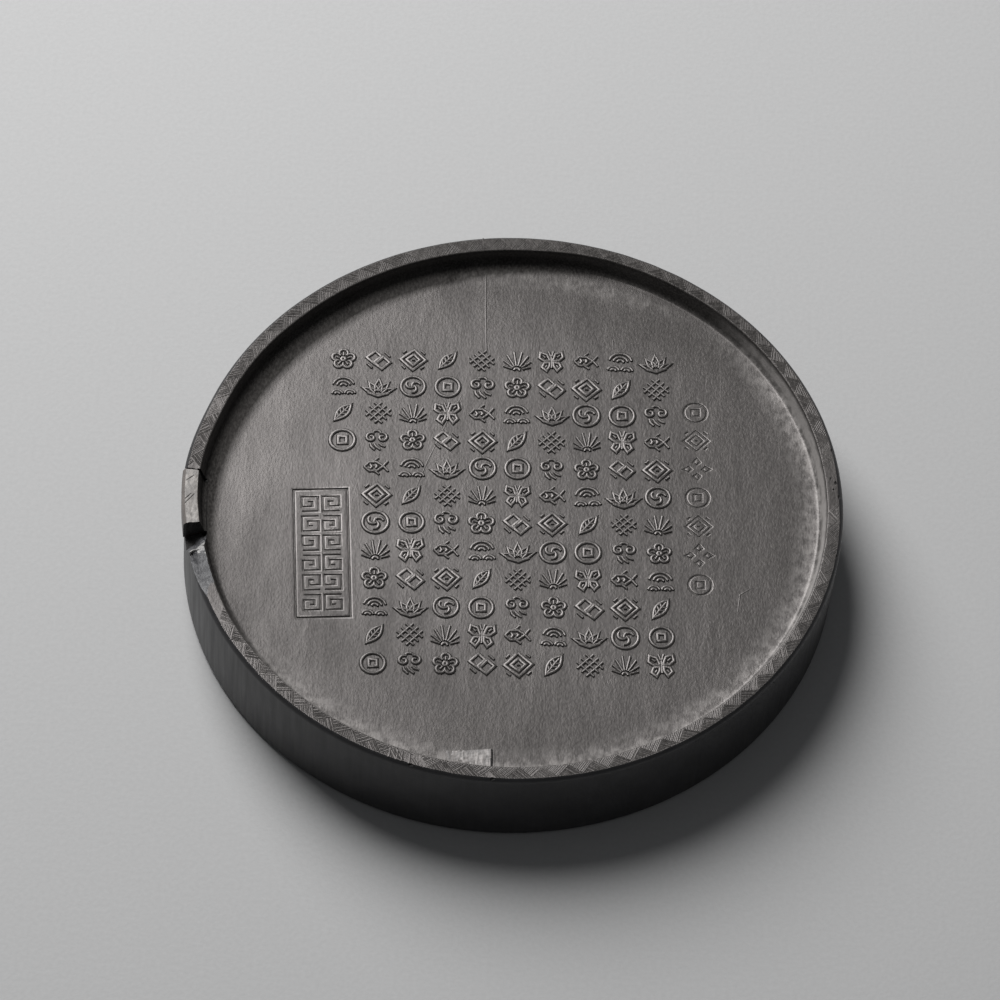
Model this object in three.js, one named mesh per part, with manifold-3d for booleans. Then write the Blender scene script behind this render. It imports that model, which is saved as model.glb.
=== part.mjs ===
// Round ink cake with a recessed field and a raised rim on each face, a lacquered edge,
// a chip out of the upper rim and a length of rim that was broken off and set back.
// Millimetres and degrees. +Z is up, +Y runs up the columns of the upper face, and the
// origin is under the middle of the cake, on the surface that it lies on.

import * as THREE from 'three';
import { mergeVertices } from 'three/addons/utils/BufferGeometryUtils.js';
import Module from 'manifold-3d';

// The pressed cake, and how far its lower face lies off its upper one along X
const thickness = 20.0;
const inkRadius = 63.4;
const sideLean = -0.9;
const roundSteps = 96;

// The rims, and the fields sunk inside them behind a leaning wall
const upperRimWidth = 2.6;
const lowerRimWidth = 2.6;
const upperFieldDepth = 3.7;
const lowerFieldDepth = 3.7;
const upperWallDraft = 0.95;
const lowerWallDraft = 0.95;
const fieldFillet = 0.7;
const filletSteps = 4;

// The lacquer coat round the side, rounded over at its two edges
const coatThickness = 0.6;
const coatEdgeSteps = 4;

// The joint of the mould's two boards, pressed as a low ridge into the upper field
const ridgeWidth = 0.5;
const ridgeHeight = 0.2;
const ridgeRoot = 0.5;
const ridgeRuns = [
  { from: [-7.3, 58.6], to: [-6.3, 34.0] },
  { from: [-2.1, -53.4], to: [-1.9, -58.8] },
];

// The break in the upper rim: a fragment set back, then a gap where a piece is missing
const crackAngle = 175.8;
const fragmentEndAngle = 187.4;
const chipEndAngle = 192.4;
const fractureInnerDepth = 3.5;
const fractureOuterDepth = 5.2;

// How the fragment sits: pushed outwards and turned a little
const fragmentPush = 0.65;
const fragmentTurn = 2.4;
const glueThickness = 0.3;

// The rubbed outer corner of the rim beyond the gap
const wornEndAngle = 206.0;
const wornWidth = 1.6;
const wornDepth = 0.8;

// How far a cutting block reaches past the surfaces that it cuts through
const cutMargin = 1.5;

const coatRadius = inkRadius + coatThickness;
const upperRimInner = inkRadius - upperRimWidth;
const lowerRimInner = inkRadius - lowerRimWidth;
const upperFieldRadius = upperRimInner - upperWallDraft;
const lowerFieldRadius = lowerRimInner - lowerWallDraft;
const upperFieldZ = thickness - upperFieldDepth;

const wasm = await Module();
wasm.setup();

// A closed geometry as a solid for cutting and joining
function toSolid(geometry) {
  const bare = geometry.clone();
  bare.deleteAttribute('normal');
  bare.deleteAttribute('uv');
  const merged = mergeVertices(bare, 1e-4);
  const corners = merged.index.array;
  const triangles = [];
  for (let i = 0; i < corners.length; i += 3) {
    const [a, b, c] = corners.slice(i, i + 3);
    if (a !== b && b !== c && c !== a) triangles.push(a, b, c);
  }
  return new wasm.Manifold(new wasm.Mesh({
    numProp: 3,
    vertProperties: new Float32Array(merged.attributes.position.array),
    triVerts: new Uint32Array(triangles),
  }));
}

// A solid as a geometry that a mesh can hold
function toGeometry(solid) {
  const mesh = solid.getMesh();
  const geometry = new THREE.BufferGeometry();
  geometry.setAttribute('position', new THREE.BufferAttribute(mesh.vertProperties, 3));
  geometry.setIndex(new THREE.BufferAttribute(mesh.triVerts, 1));
  return geometry;
}

// A shape turned about Z from a profile of radii and heights
function turned(profile) {
  const points = profile.map(([radius, z]) => new THREE.Vector2(radius, z));
  const geometry = new THREE.LatheGeometry(points, roundSteps);
  return geometry.rotateX(Math.PI / 2);
}

// Profile points along an arc about a centre
function arc(centreRadius, centreZ, radius, fromAngle, toAngle, steps) {
  const points = [];
  for (let i = 0; i <= steps; i += 1) {
    const turn = THREE.MathUtils.degToRad(fromAngle + (toAngle - fromAngle) * i / steps);
    points.push([centreRadius + radius * Math.cos(turn), centreZ + radius * Math.sin(turn)]);
  }
  return points;
}

// A point at an angle and a distance from the cake's axis
function around(angle, radius, z) {
  const turn = THREE.MathUtils.degToRad(angle);
  return new THREE.Vector3(radius * Math.cos(turn), radius * Math.sin(turn), z);
}

// A closed six-sided block from four corners, anticlockwise from above, and the four over them
function block(below, above) {
  const quads = [
    [3, 2, 1, 0], [4, 5, 6, 7], [0, 1, 5, 4],
    [1, 2, 6, 5], [2, 3, 7, 6], [3, 0, 4, 7],
  ];
  const geometry = new THREE.BufferGeometry();
  geometry.setFromPoints([...below, ...above]);
  geometry.setIndex(quads.flatMap(([a, b, c, d]) => [a, b, c, a, c, d]));
  return geometry;
}

// The curve where a field meets its wall, for a floor at height 0 and a wall that rises
function fieldCorner(floorRadius, draft, depth) {
  const wallAngle = THREE.MathUtils.radToDeg(Math.atan2(depth, draft));
  const setback = fieldFillet * Math.tan(THREE.MathUtils.degToRad(wallAngle / 2));
  return arc(floorRadius - setback, fieldFillet, fieldFillet, -90, wallAngle - 90, filletSteps);
}

// The cake's section: out from the lower field, up the side and back in to the upper field
function cakeProfile() {
  const lower = fieldCorner(lowerFieldRadius, lowerWallDraft, lowerFieldDepth);
  const upper = fieldCorner(upperFieldRadius, upperWallDraft, upperFieldDepth);
  return [
    [0, lowerFieldDepth],
    ...lower.map(([radius, z]) => [radius, lowerFieldDepth - z]),
    [lowerRimInner, 0],
    [inkRadius, 0],
    [inkRadius, thickness],
    [upperRimInner, thickness],
    ...upper.reverse().map(([radius, z]) => [radius, upperFieldZ + z]),
    [0, upperFieldZ],
  ];
}

// The coat's section: straight against the ink, rounded over at both outer corners
function coatProfile() {
  const low = arc(inkRadius, coatThickness, coatThickness, -90, 0, coatEdgeSteps);
  const high = arc(inkRadius, thickness - coatThickness, coatThickness, 0, 90, coatEdgeSteps);
  return [...low, ...high, low[0]];
}

// The height of the fracture at a distance from the axis: it falls away outwards
function fractureZ(radius) {
  const fall = (fractureOuterDepth - fractureInnerDepth) / (coatRadius - upperFieldRadius);
  return thickness - fractureInnerDepth - fall * (radius - upperFieldRadius);
}

// The space over the rim's seat between two angles, over the fracture or raised off it,
// whose floor may climb to the rim's top at its far end
function rimBlock(fromAngle, toAngle, raised, farZ) {
  const inner = upperFieldRadius - cutMargin;
  const outer = coatRadius + cutMargin;
  const top = thickness + cutMargin;
  const innerZ = fractureZ(inner) + raised;
  const outerZ = fractureZ(outer) + raised;
  const below = [
    around(fromAngle, inner, innerZ),
    around(fromAngle, outer, outerZ),
    around(toAngle, outer, farZ ?? outerZ),
    around(toAngle, inner, farZ ?? innerZ),
  ];
  return toSolid(block(below, below.map((corner) => corner.clone().setZ(top))));
}

// The rubbed corner: a slope that is deepest at the gap and runs out along the rim
function wornBlock() {
  const inner = coatRadius - wornWidth;
  const outer = coatRadius + cutMargin;
  const top = thickness + cutMargin;
  const outerZ = thickness - wornDepth * (outer - inner) / wornWidth;
  const below = [
    around(fragmentEndAngle, inner, thickness),
    around(fragmentEndAngle, outer, outerZ),
    around(wornEndAngle, outer, thickness),
    around(wornEndAngle, inner, thickness),
  ];
  return toSolid(block(below, below.map((corner) => corner.clone().setZ(top))));
}

// One run of the mould joint's ridge, rooted in the field
function ridgeRun({ from, to }) {
  const start = new THREE.Vector2(...from);
  const end = new THREE.Vector2(...to);
  const run = end.clone().sub(start);
  const height = ridgeRoot + ridgeHeight;
  const geometry = new THREE.BoxGeometry(run.length(), ridgeWidth, height);
  geometry.rotateZ(run.angle());
  const middle = start.add(end).divideScalar(2);
  geometry.translate(middle.x, middle.y, upperFieldZ - ridgeRoot + height / 2);
  return toSolid(geometry);
}

// Where the broken length sits now: turned about its own middle and pushed outwards
function fragmentPose() {
  const middleAngle = (crackAngle + fragmentEndAngle) / 2;
  const middle = around(middleAngle, inkRadius - upperRimWidth / 2, 0);
  const push = around(middleAngle, fragmentPush, 0);
  const pose = new THREE.Matrix4().makeTranslation(middle.clone().add(push));
  pose.multiply(new THREE.Matrix4().makeRotationZ(THREE.MathUtils.degToRad(fragmentTurn)));
  pose.multiply(new THREE.Matrix4().makeTranslation(middle.negate()));
  return pose;
}

// The two faces of a hand-pressed cake are not quite in line: each height shifts along X
function leaned(geometry) {
  const lean = new THREE.Matrix4().makeShear(0, 0, 0, 0, -sideLean / thickness, 0);
  lean.setPosition(sideLean / 2, 0, 0);
  return geometry.applyMatrix4(lean);
}

// The whole cake and the whole coat, before anything broke
const cakeShape = turned(cakeProfile());
const coatShape = turned(coatProfile());
const wholeCake = toSolid(cakeShape);
const wholeCoat = toSolid(coatShape);

// What the fracture took off, and the smaller space that the fragment fills again
const glueAngle = THREE.MathUtils.radToDeg(glueThickness / inkRadius);
const seat = rimBlock(crackAngle, fragmentEndAngle, 0);
const fragmentSpace = rimBlock(crackAngle + glueAngle, fragmentEndAngle, glueThickness);
const gap = rimBlock(fragmentEndAngle, chipEndAngle, 0, thickness);
const lost = seat.add(gap).add(wornBlock());
const pose = fragmentPose();

function inkBody() {
  const ridges = ridgeRuns.map(ridgeRun);
  return ridges.reduce((body, ridge) => body.add(ridge), wholeCake).subtract(lost);
}

function edgeCoat() {
  return wholeCoat.subtract(lost);
}

function rimFragment() {
  return toSolid(cakeShape.clone().applyMatrix4(pose)).intersect(fragmentSpace);
}

function fragmentCoat() {
  return toSolid(coatShape.clone().applyMatrix4(pose)).intersect(fragmentSpace);
}

function glueFilm() {
  return wholeCake.add(wholeCoat).intersect(seat.subtract(fragmentSpace));
}

const ink = new THREE.MeshStandardMaterial({ color: 0x6b6764, roughness: 0.62, metalness: 0 });
const brokenInk = new THREE.MeshStandardMaterial({ color: 0x85807b, roughness: 0.7, metalness: 0 });
const lacquer = new THREE.MeshStandardMaterial({ color: 0x2c2b2c, roughness: 0.35, metalness: 0 });
const glue = new THREE.MeshStandardMaterial({ color: 0x4a3a33, roughness: 0.5, metalness: 0 });

const pieces = [
  ['ink_body', inkBody(), ink],
  ['edge_coat', edgeCoat(), lacquer],
  ['rim_fragment', rimFragment(), brokenInk],
  ['fragment_coat', fragmentCoat(), lacquer],
  ['glue_film', glueFilm(), glue],
];

const inkCake = new THREE.Group();
for (const [name, solid, material] of pieces) {
  const mesh = new THREE.Mesh(leaned(toGeometry(solid)), material);
  mesh.name = name;
  inkCake.add(mesh);
}

export default inkCake;
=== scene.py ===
# %% [markdown]
# # A round pressed ink cake
#
# An ink cake is soot and glue, kneaded, pressed between two carved boards and dried for months.
# This one is a disc with a sunk field and a raised rim. Small marks stand up from the field,
# a panel and a short column are sunk into it, and the rim carries a band of hatched triangles.
# A length of rim broke off and was glued back a little out of line, and a piece beside it is lost.
#
# The solid model is loaded first, as a frame that nothing here may move. Every piece below is
# modelled in millimetres about the cake's own axis, because those are the numbers that a maker
# would measure, and is turned into metres when it is finished.

# %% Load the frame
import math
import random

import bmesh
import bpy
from mathutils import Matrix, Vector, noise


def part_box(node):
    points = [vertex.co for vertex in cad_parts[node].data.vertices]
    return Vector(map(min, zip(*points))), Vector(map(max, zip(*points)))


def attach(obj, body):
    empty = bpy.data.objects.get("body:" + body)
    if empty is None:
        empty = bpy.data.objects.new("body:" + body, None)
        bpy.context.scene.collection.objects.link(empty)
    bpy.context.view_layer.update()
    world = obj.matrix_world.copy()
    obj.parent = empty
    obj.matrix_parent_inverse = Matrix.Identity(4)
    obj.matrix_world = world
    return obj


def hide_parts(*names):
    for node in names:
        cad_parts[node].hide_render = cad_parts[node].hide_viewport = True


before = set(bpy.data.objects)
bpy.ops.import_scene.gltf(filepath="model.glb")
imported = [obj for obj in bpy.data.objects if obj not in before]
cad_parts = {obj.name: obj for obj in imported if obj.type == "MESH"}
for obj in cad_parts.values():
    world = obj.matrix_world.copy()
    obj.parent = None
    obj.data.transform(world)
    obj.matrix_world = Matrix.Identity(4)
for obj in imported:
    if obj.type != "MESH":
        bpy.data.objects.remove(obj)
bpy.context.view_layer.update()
print("frame pieces:", sorted(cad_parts))

# %% [markdown]
# ## Sizes
#
# The overall sizes are read from the frame, so that the dressed cake always fits the solid one.
# The upper face lies a little to the right of the lower one, which the frame's boxes also tell:
# the ink's box is wider along X than along Y by just that lean.

# %% Read the sizes from the frame
METRE = 0.001
body_low, body_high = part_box("ink_body")
coat_low, coat_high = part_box("edge_coat")
thickness = (body_high.z - body_low.z) / METRE
ink_radius = (body_high.y - body_low.y) / 2 / METRE
coat_radius = (coat_high.y - coat_low.y) / 2 / METRE
lean = (body_high.x - body_low.x) / METRE - 2 * ink_radius

rim_width = 2.6
rim_inner = ink_radius - rim_width
wall_draft = 0.95
field_radius = rim_inner - wall_draft
field_depth = 3.7
field_z = thickness - field_depth
carving_height = 0.06
clearance = 0.01
rim_z = thickness - carving_height - clearance
print(f"radius {coat_radius:.2f}, thickness {thickness:.2f}, lean {lean:.2f} mm")

# %% [markdown]
# ## Helpers for meshes
#
# A piece starts as a bmesh, Blender's editable mesh. `finish_piece` leans it as the cake leans,
# scales it to metres, works out which edges are sharp, and hands it to the frame: it rides on
# the cake's body, takes the finishes it is given, and stands for the plain solid it replaces.
# An edge is sharp where it turns by more than a given angle, or where the finish changes.

# %% Small measures
def clamp(value):
    return min(1.0, max(0.0, value))


def smoothstep(low, high, value):
    share = clamp((value - low) / (high - low))
    return share * share * (3 - 2 * share)


def polar(angle, radius):
    turn = math.radians(angle)
    return Vector((radius * math.cos(turn), radius * math.sin(turn)))


def angle_of(point):
    return math.degrees(math.atan2(point.y, point.x)) % 360


# %% Turn a bmesh into a finished piece
def add_object(name, data):
    item = bpy.data.objects.new(name, data)
    bpy.context.scene.collection.objects.link(item)
    return item


def finish_piece(bm, name, materials, replaces=(), sharp=40):
    for vert in bm.verts:
        vert.co.x += lean * (vert.co.z / thickness - 0.5)
    bmesh.ops.scale(bm, vec=(METRE, METRE, METRE), verts=bm.verts)
    for face in bm.faces:
        face.smooth = True
    for edge in bm.edges:
        finishes = {face.material_index for face in edge.link_faces}
        edge.smooth = len(finishes) == 1 and edge.calc_face_angle(0) < math.radians(sharp)
    mesh = bpy.data.meshes.new(name)
    bm.to_mesh(mesh)
    bm.free()
    for material in materials:
        mesh.materials.append(material)
    piece = add_object(name, mesh)
    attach(piece, "root")
    if replaces:
        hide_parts(*replaces)
    print(f"{name}: {len(mesh.polygons)} faces")


# %% [markdown]
# Cutting and intersecting is left to the Boolean modifier. The manifold solver is quick and
# keeps closed shells closed. Each cut is evaluated at once, so no live modifier is left behind.
# Both meshes get a place for each finish that a piece may carry, so the number that a face has
# for its finish lasts through the cut. The cake's own finish is number 0.

# %% Cut one mesh with another
SCUFFED, BROKEN_AND_SHADE, PAINTED_HIGHLIGHT, WORN = 1, 2, 3, 4
finish_places = 5


def combine(bm, tool, operation):
    objects = []
    for source in (bm, tool):
        mesh = bpy.data.meshes.new("cut")
        source.to_mesh(mesh)
        source.free()
        for _ in range(finish_places):
            mesh.materials.append(None)
        objects.append(add_object("cut", mesh))
    body, cutter = objects
    modifier = body.modifiers.new("cut", "BOOLEAN")
    modifier.object = cutter
    modifier.operation = operation
    modifier.solver = "MANIFOLD"
    evaluated = body.evaluated_get(bpy.context.evaluated_depsgraph_get())
    result = bmesh.new()
    result.from_mesh(evaluated.to_mesh())
    evaluated.to_mesh_clear()
    for shape in objects:
        bpy.data.meshes.remove(shape.data)
    return result


# %% [markdown]
# Marks that repeat are made once as a small mesh and stamped into place, each with its own
# matrix. That is far quicker than modelling each one in a large mesh.

# %% Stamp a small mesh into a larger one
def stamp(bm, mesh, matrix):
    copy = mesh.copy()
    copy.transform(matrix)
    bm.from_mesh(copy)
    bpy.data.meshes.remove(copy)


def as_mesh(bm, name):
    mesh = bpy.data.meshes.new(name)
    bmesh.ops.recalc_face_normals(bm, faces=bm.faces)
    bm.to_mesh(mesh)
    bm.free()
    return mesh


# %% [markdown]
# ## Materials
#
# Nothing here is a flat colour, and nothing is a picture. Each finish is built from noise that
# reads Object coordinates, which are metres on the cake, so a grain of a quarter of a
# millimetre is written as a scale of 4000.

# %% Helpers for node trees
def feed(tree, socket, value):
    """Gives a socket its value: another socket, a colour, a number or a list of numbers."""
    if isinstance(value, bpy.types.NodeSocket):
        tree.links.new(value, socket)
    else:
        socket.default_value = (*value, 1) if isinstance(value, tuple) else value


def add_node(tree, kind, inputs=(), **settings):
    node = tree.nodes.new("ShaderNode" + kind)
    for name, value in settings.items():
        setattr(node, name, value)
    for name, value in dict(inputs).items():
        feed(tree, node.inputs[name], value)
    return node


def new_material(name, colour, roughness, specular=0.5):
    material = bpy.data.materials.new(name)
    material.use_nodes = True
    tree = material.node_tree
    shader = tree.nodes["Principled BSDF"]
    feed(tree, shader.inputs["Base Color"], colour)
    feed(tree, shader.inputs["Roughness"], roughness)
    feed(tree, shader.inputs["Specular IOR Level"], specular)
    return material, tree, shader


def add_noise(tree, scale, stretch=(1, 1, 1), detail=3.0, roughness=0.55):
    """Noise with so many features in a metre, drawn out where stretch is small."""
    place = add_node(tree, "TexCoord").outputs["Object"]
    scales = [scale * share for share in stretch]
    mapping = add_node(tree, "Mapping", {"Vector": place, "Scale": scales})
    look = {"Scale": 1.0, "Detail": detail, "Roughness": roughness}
    texture = add_node(tree, "TexNoise", {"Vector": mapping.outputs["Vector"], **look})
    return texture.outputs["Fac"]


def remap(tree, value, low, high, to_low, to_high):
    """Carries a value from one range into another, and no further than its ends."""
    names = ("Value", "From Min", "From Max", "To Min", "To Max")
    inputs = zip(names, (value, low, high, to_low, to_high))
    return add_node(tree, "MapRange", inputs).outputs["Result"]


def ramp(tree, value, low, high, to_low=0.0, to_high=1.0):
    """The same for a length that runs between two limits in millimetres."""
    return remap(tree, value, low * METRE, high * METRE, to_low, to_high)


def blend_colours(tree, share, first, second):
    """A colour between two, each a socket or three numbers."""
    inputs = {"Factor": share, "A": first, "B": second}
    return add_node(tree, "Mix", inputs, data_type="RGBA").outputs["Result"]


def calculate(tree, kind, *values):
    """Adds, subtracts or multiplies values in turn, each a socket or a number."""
    result = values[0]
    for value in values[1:]:
        result = add_node(tree, "Math", {0: result, 1: value}, operation=kind).outputs["Value"]
    return result


def add_bump(tree, shader, heights):
    """Fine relief from (height socket, depth in millimetres) pairs, one bump after another."""
    below = {}
    for height, depth in heights:
        inputs = {"Distance": depth * METRE, "Height": height, **below}
        below = {"Normal": add_node(tree, "Bump", inputs).outputs["Normal"]}
    feed(tree, shader.inputs["Normal"], below["Normal"])


# %% [markdown]
# ### Pressed ink
#
# Dry ink is nearly black, and its grey is mostly sheen: soot bound in glue is smooth enough to
# carry a broad highlight. So the base colour is dark and the specular level is high. The
# mould's board was pear wood, and its grain prints as short upright dashes, so one noise is
# drawn out along Y. A finer, even noise is the powdery surface, and a slow one is the change
# of tone that handling leaves.
#
# Handling also follows the cake's shape. Where the field turns up into its wall, on the near
# side and the right, the ink is rubbed pale in ragged patches, with a fainter haze along the
# field's far edge. On the face of that near and right wall the pale is also laid on evenly,
# which is painted light: that wall faces the lamp, and the shaded left wall gets none. In the
# corner under the far left wall the sheen is taken away, which is painted shade for the wall's
# shadow. There is less sheen by the field's far and near edges, and on the far and left rim.
# All of this is found from the place on the cake: its distance to the axis, its height, and its
# reach, which is how far it lies in one direction.

# %% Pressed ink
ink_tones = ((0.024, 0.0225, 0.0215), (0.048, 0.045, 0.043), (0.10, 0.094, 0.089))
worn_tones = ((0.020, 0.019, 0.018), (0.038, 0.036, 0.034), (0.085, 0.080, 0.076))
rubbed_pale_and_painted_light = (0.286, 0.271, 0.261)
sheen_tint = (1.0, 0.932, 0.91)
ink_roughness = 0.35
ink_sheen = 0.44
worn_sheen = 0.85
field_offset = 0.3


def find_place(tree):
    """Sockets for the place on the plan, the distance to the axis and the height."""
    place = add_node(tree, "TexCoord").outputs["Object"]
    split = add_node(tree, "SeparateXYZ", {"Vector": place}).outputs
    centred = calculate(tree, "SUBTRACT", split["X"], field_offset * METRE)
    flat = add_node(tree, "CombineXYZ", {"X": centred, "Y": split["Y"]}).outputs["Vector"]
    length = add_node(tree, "VectorMath", {0: flat}, operation="LENGTH").outputs["Value"]
    return flat, length, split["Z"]


def find_reach(tree, flat, angle):
    """How far a place lies from the axis in one direction."""
    inputs = {0: flat, 1: [*polar(angle, 1.0), 0]}
    return add_node(tree, "VectorMath", inputs, operation="DOT_PRODUCT").outputs["Value"]


def find_rubbed_band_and_painted_light(tree, flat, radius, height):
    """Pale rubbed patches by the near wall, fainter at the far edge, and painted light on the wall.
    """
    patches = add_noise(tree, 560, (1, 0.8, 1), 5.0, 0.65)
    ragged = remap(tree, patches, 0.42, 0.60, 0.08, 0.7)
    # Painted light: an even pale on the face of the near and right wall, which face the lamp.
    wall = ramp(tree, height, field_z + 0.3, field_z + 1.5, 0.0, 0.75)
    near = calculate(
        tree, "MULTIPLY",
        ramp(tree, radius, 54.5, 59.0),
        ramp(tree, radius, 60.6, 60.9, 1.0, 0.0),
        ramp(tree, find_reach(tree, flat, -50), -12, 10),
        calculate(tree, "ADD", ragged, wall),
    )
    far = calculate(
        tree, "MULTIPLY",
        ramp(tree, radius, 52.5, 55.5, 0.0, 0.4),
        ramp(tree, radius, 56.8, 58.6, 1.0, 0.0),
        ramp(tree, find_reach(tree, flat, 80), 51.0, 54.0),
        ragged,
    )
    return calculate(tree, "ADD", near, far)


def find_painted_shade_and_dull_band(tree, flat, radius, height):
    """Sheen taken away: all in the far left corner, as painted shade, less by the edges and rim."""
    # Painted shade: no sheen in the corner under the far left wall, standing in for its shadow.
    far_left = calculate(tree, "MULTIPLY", find_reach(tree, flat, 134), 0.16)
    corner = ramp(tree, calculate(tree, "ADD", radius, far_left), 62.9, 65.3)
    near = ramp(tree, find_reach(tree, flat, 240), 22, 42, 0.0, 0.32)
    far = ramp(tree, find_reach(tree, flat, 75), 39, 49, 0.0, 0.34)
    field = calculate(tree, "ADD", near, far, corner)
    below = ramp(tree, height, thickness - 2.5, thickness - 1.0, 1.0, 0.0)
    far_rim = ramp(tree, find_reach(tree, flat, 80), 25, 50, 0.0, 0.6)
    left_rim = ramp(tree, find_reach(tree, flat, 165), 45, 58, 0.0, 0.28)
    rim = calculate(tree, "ADD", far_rim, left_rim)
    above = ramp(tree, height, thickness - 0.9, thickness - 0.4)
    shares = [calculate(tree, "MULTIPLY", *pair) for pair in ((field, below), (rim, above))]
    return calculate(tree, "ADD", *shares)


def make_ink(name, tones, sheen):
    dark, middle, pale = tones
    material, tree, shader = new_material(name, middle, ink_roughness, sheen)
    feed(tree, shader.inputs["Specular Tint"], sheen_tint)
    grain = add_noise(tree, 2500, (1, 0.48, 1), 2.5)
    powder = add_noise(tree, 3900, detail=2.0)
    tone = add_noise(tree, 110, (1.5, 0.6, 1), 5.0)
    flecks = remap(tree, grain, 0.40, 0.72, 0.0, 0.6)
    clouds = remap(tree, tone, 0.3, 0.7, 0.0, 1.0)
    place = find_place(tree)
    colour = blend_colours(tree, clouds, dark, middle)
    colour = blend_colours(tree, flecks, colour, pale)
    # Rubbed patches, and painted light on the near and right wall, move the base towards pale.
    colour = blend_colours(tree, find_rubbed_band_and_painted_light(tree, *place), colour, rubbed_pale_and_painted_light)
    feed(tree, shader.inputs["Base Color"], colour)
    # Less sheen where the band says; in the far left corner this is painted shade.
    shine = remap(tree, find_painted_shade_and_dull_band(tree, *place), 0.0, 1.0, sheen, 0.0)
    feed(tree, shader.inputs["Specular IOR Level"], shine)
    spread = remap(tree, tone, 0.3, 0.7, ink_roughness + 0.05, ink_roughness - 0.05)
    feed(tree, shader.inputs["Roughness"], spread)
    add_bump(tree, shader, [(grain, 0.034), (powder, 0.016), (tone, 0.14)])
    return material


ink = make_ink("pressed_ink_face", ink_tones, ink_sheen)
worn_ink = make_ink("pressed_ink_polished", worn_tones, worn_sheen)
print("materials:", ink.name, worn_ink.name)

# %% [markdown]
# ### Lacquer, broken ink, glue
#
# The side carries a thin black lacquer, smooth but worn satin, with faint upright streaks from
# brushing. It is worn brown-grey on the reset fragment. Freshly broken ink is grainy and near
# black, and it is made darker and duller than the face, partly as painted shade for the depth
# of the break. Its upper facets at the far end of the gap, which face the lamp, are painted pale
# as a painted highlight. Beyond the break the rim is scuffed. Ink that was pressed out into a
# thin scrap dried pale and streaky. The fragment's top is paler than the rest of the rim. Old
# glue is brown and shiny.

# %% Lacquer
def make_lacquer(name, colour, roughness):
    material, tree, shader = new_material(name, colour, roughness)
    streaks = add_noise(tree, 900, (1, 1, 0.06), 4.0)
    dust = add_noise(tree, 160, (1, 1, 1), 4.0)
    worn = remap(tree, dust, 0.42, 0.75, 0.0, 0.6)
    paler = tuple(2.0 * value for value in colour)
    feed(tree, shader.inputs["Base Color"], blend_colours(tree, worn, colour, paler))
    spread = remap(tree, streaks, 0.3, 0.7, roughness - 0.05, roughness + 0.08)
    feed(tree, shader.inputs["Roughness"], spread)
    add_bump(tree, shader, [(streaks, 0.012), (dust, 0.05)])
    return material


side_lacquer = make_lacquer("edge_lacquer_side", (0.019, 0.0185, 0.0195), 0.42)
worn_lacquer = make_lacquer("edge_lacquer_worn", (0.132, 0.118, 0.11), 0.45)


# %% Broken and reset ink, and glue
def make_broken(name, tones, roughness, depth, stretch=(1, 1, 1), scale=2600, specular=0.5):
    dark, pale = tones
    material, tree, shader = new_material(name, pale, roughness, specular)
    crumbs = add_noise(tree, scale, stretch, 4.0, 0.7)
    patches = add_noise(tree, 0.22 * scale, stretch, 4.0, 0.6)
    share = remap(tree, crumbs, 0.36, 0.64, 0.0, 1.0)
    colour = blend_colours(tree, share, dark, pale)
    colour = blend_colours(tree, remap(tree, patches, 0.45, 0.62, 0.0, 0.7), colour, dark)
    feed(tree, shader.inputs["Base Color"], colour)
    add_bump(tree, shader, [(crumbs, depth), (patches, 0.08)])
    return material


# Broken ink is darker and duller than the face: partly its own colour, partly painted shade for the
# deep break.
broken_and_shade_tones = ((0.014, 0.013, 0.013), (0.040, 0.038, 0.037))
painted_highlight_tones = ((0.15, 0.148, 0.152), (0.42, 0.41, 0.39))
scuffed_tones = ((0.018, 0.018, 0.022), (0.13, 0.129, 0.133))
scrap_tones = ((0.085, 0.078, 0.075), (0.40, 0.372, 0.356))
reset_tones = ((0.105, 0.094, 0.087), (0.335, 0.309, 0.284))
glue_tones = ((0.030, 0.012, 0.010), (0.085, 0.035, 0.028))
broken_ink_and_shade = make_broken("pressed_ink_broken_and_shade", broken_and_shade_tones, 0.6, 0.08, specular=0.2)
painted_highlight_facets = make_broken("pressed_ink_facets_painted_highlight", painted_highlight_tones, 0.5, 0.06)
scuffed_ink = make_broken("pressed_ink_scuffed", scuffed_tones, 0.5, 0.12, (1, 0.4, 1), 3200)
pale_scrap = make_broken("pressed_ink_scrap", scrap_tones, 0.5, 0.06, (1, 0.3, 1), 1900)
reset_ink = make_broken("reset_ink_face", reset_tones, 0.48, 0.06, (1, 0.5, 1), 1900)
old_glue = make_broken("aged_glue_film", glue_tones, 0.35, 0.02)

# %% [markdown]
# ## The cake
#
# The cake is a turned shape, so its section is drawn once and spun about the axis. The section
# runs out from the lower field, round the lower rim, up the side and back in to the upper
# field. The flat of each field is left open by the spin and filled with one face, which keeps
# the middle free of the fan of thin triangles that a pole would have.

# %% The section of one field and rim
def arc(centre, radius, start, end, steps):
    turns = [math.radians(start + (end - start) * i / steps) for i in range(steps + 1)]
    return [(centre[0] + radius * math.cos(t), centre[1] + radius * math.sin(t)) for t in turns]


flat_radius = 52.0
dish_start = 56.6
dish_rise = 0.06
dish_slope = 6
fillet_radius = 1.0
arris_radius = 0.3
rim_bands = 7
edge_flat = 0.05
edge_drop = 0.7


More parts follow.
